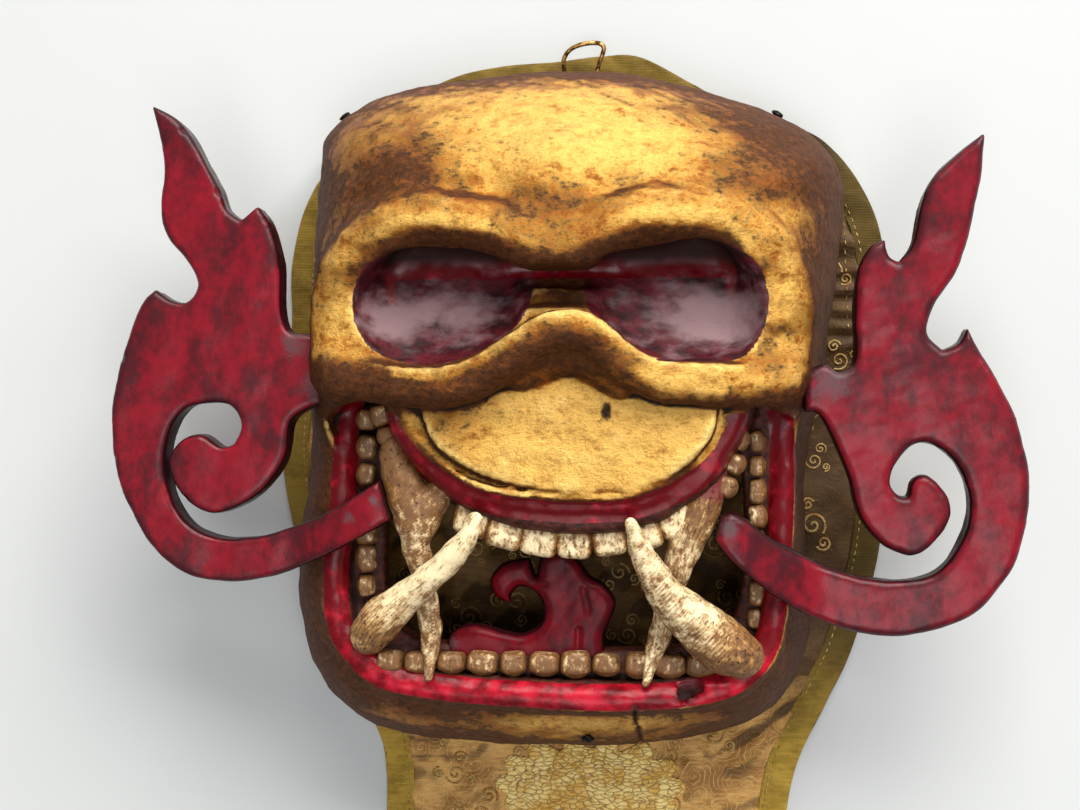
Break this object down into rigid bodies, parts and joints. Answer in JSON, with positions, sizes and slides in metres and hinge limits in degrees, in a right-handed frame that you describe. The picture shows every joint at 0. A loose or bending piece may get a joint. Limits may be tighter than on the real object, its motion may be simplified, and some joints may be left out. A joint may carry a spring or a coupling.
{
  "type": "carved guardian dance mask",
  "caption": "Carved and gilded wooden guardian dance mask with lacquered scroll ears, open fanged mouth and a brocade hood panel, lying on its back.",
  "frame": {"origin": "middle of the whole outline, on the surface that it lies on", "axes": "+Z out of the mask's face, +Y from chin to brow, +X to the viewer's right when facing the mask"},
  "size_m": [0.4715, 0.5014, 0.1465],
  "materials": {
    "gilded_wood": "worn gilding over brown patina, with red-lacquered lips, sockets and gums",
    "red_lacquer": "dark red lacquer, satin, rubbed at the edges",
    "ivory_paint": "old cream paint, crazed and browned",
    "brass_wire": "tarnished",
    "iron_nail": "dark, dull",
    "silk_brocade": "bronze satin ground with raised pale-gold scrolling motifs",
    "olive_silk": "plain olive-gold silk"
  },
  "bodies": {
    "root": {"mask_shell": "gilded_wood", "scroll_left": "red_lacquer", "scroll_right": "red_lacquer", "tongue": "red_lacquer", "lower_tusk_left": "ivory_paint", "lower_tusk_right": "ivory_paint", "upper_fang_left": "ivory_paint", "upper_fang_right": "ivory_paint", "hanging_loop": "brass_wire", "nail_top_left": "iron_nail", "nail_top_right": "iron_nail", "nail_chin": "iron_nail", "hood_brocade": "silk_brocade", "hood_border": "olive_silk"}
  },
  "joints": []
}
